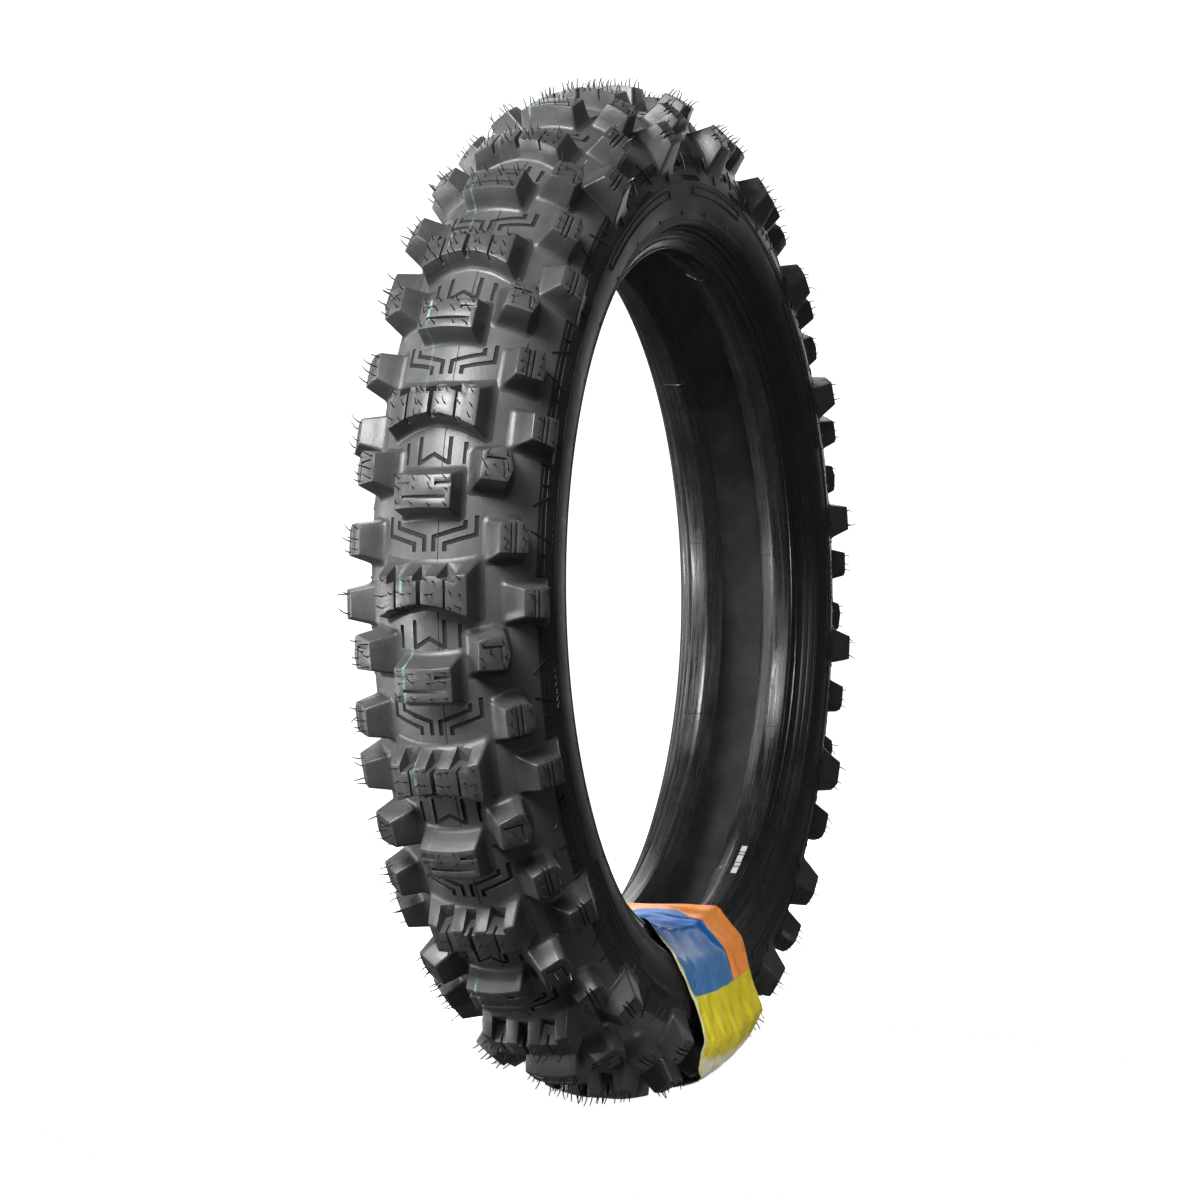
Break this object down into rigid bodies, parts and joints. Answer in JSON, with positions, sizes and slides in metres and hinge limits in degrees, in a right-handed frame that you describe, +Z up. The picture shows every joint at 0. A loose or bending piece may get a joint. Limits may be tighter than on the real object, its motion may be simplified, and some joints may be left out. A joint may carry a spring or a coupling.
{
  "type": "motorcycle tire",
  "caption": "Knobbly off-road rear motorcycle tyre with chevron centre bars, staggered shoulder knobs, wired beads, a plied casing and a plastic film sleeve.",
  "frame": {"origin": "wheel centre: on the axle line, in the tyre's mid-plane", "axes": "+Y along the axle towards the left side, +X forward, +Z up; the tyre is upright, as its rim holds it"},
  "size_m": [0.6806, 0.1326, 0.6811],
  "materials": {
    "tread_rubber": "matte, moulded",
    "sidewall_rubber": "satin, moulded",
    "chafer_rubber": "smooth satin",
    "liner_rubber": "smooth matte",
    "ply_fabric": "rubber-dipped nylon cord",
    "bead_steel": "bronze-coated wire",
    "hard_rubber": "hard, matte",
    "film_plastic": "glossy film in plain orange, blue and yellow areas",
    "label_paper": "plain white strip"
  },
  "bodies": {
    "root": {"tread_base": "tread_rubber", "centre_bars": "tread_rubber", "centre_blocks": "tread_rubber", "inner_shoulder_knobs_left": "tread_rubber", "inner_shoulder_knobs_right": "tread_rubber", "middle_shoulder_knobs_left": "tread_rubber", "middle_shoulder_knobs_right": "tread_rubber", "outer_shoulder_knobs_left": "tread_rubber", "outer_shoulder_knobs_right": "tread_rubber", "sidewall_left": "sidewall_rubber", "sidewall_right": "sidewall_rubber", "chafer_left": "chafer_rubber", "chafer_right": "chafer_rubber", "rim_strip_left": "hard_rubber", "rim_strip_right": "hard_rubber", "bead_filler_left": "hard_rubber", "bead_filler_right": "hard_rubber", "bead_core_rubber_left": "hard_rubber", "bead_core_rubber_right": "hard_rubber", "bead_wires_left": "bead_steel", "bead_wires_right": "bead_steel", "inner_liner": "liner_rubber", "carcass_ply_inner": "ply_fabric", "carcass_ply_outer": "ply_fabric", "crown_breaker": "ply_fabric", "film_sleeve": "film_plastic", "bead_label": "label_paper"}
  },
  "joints": []
}
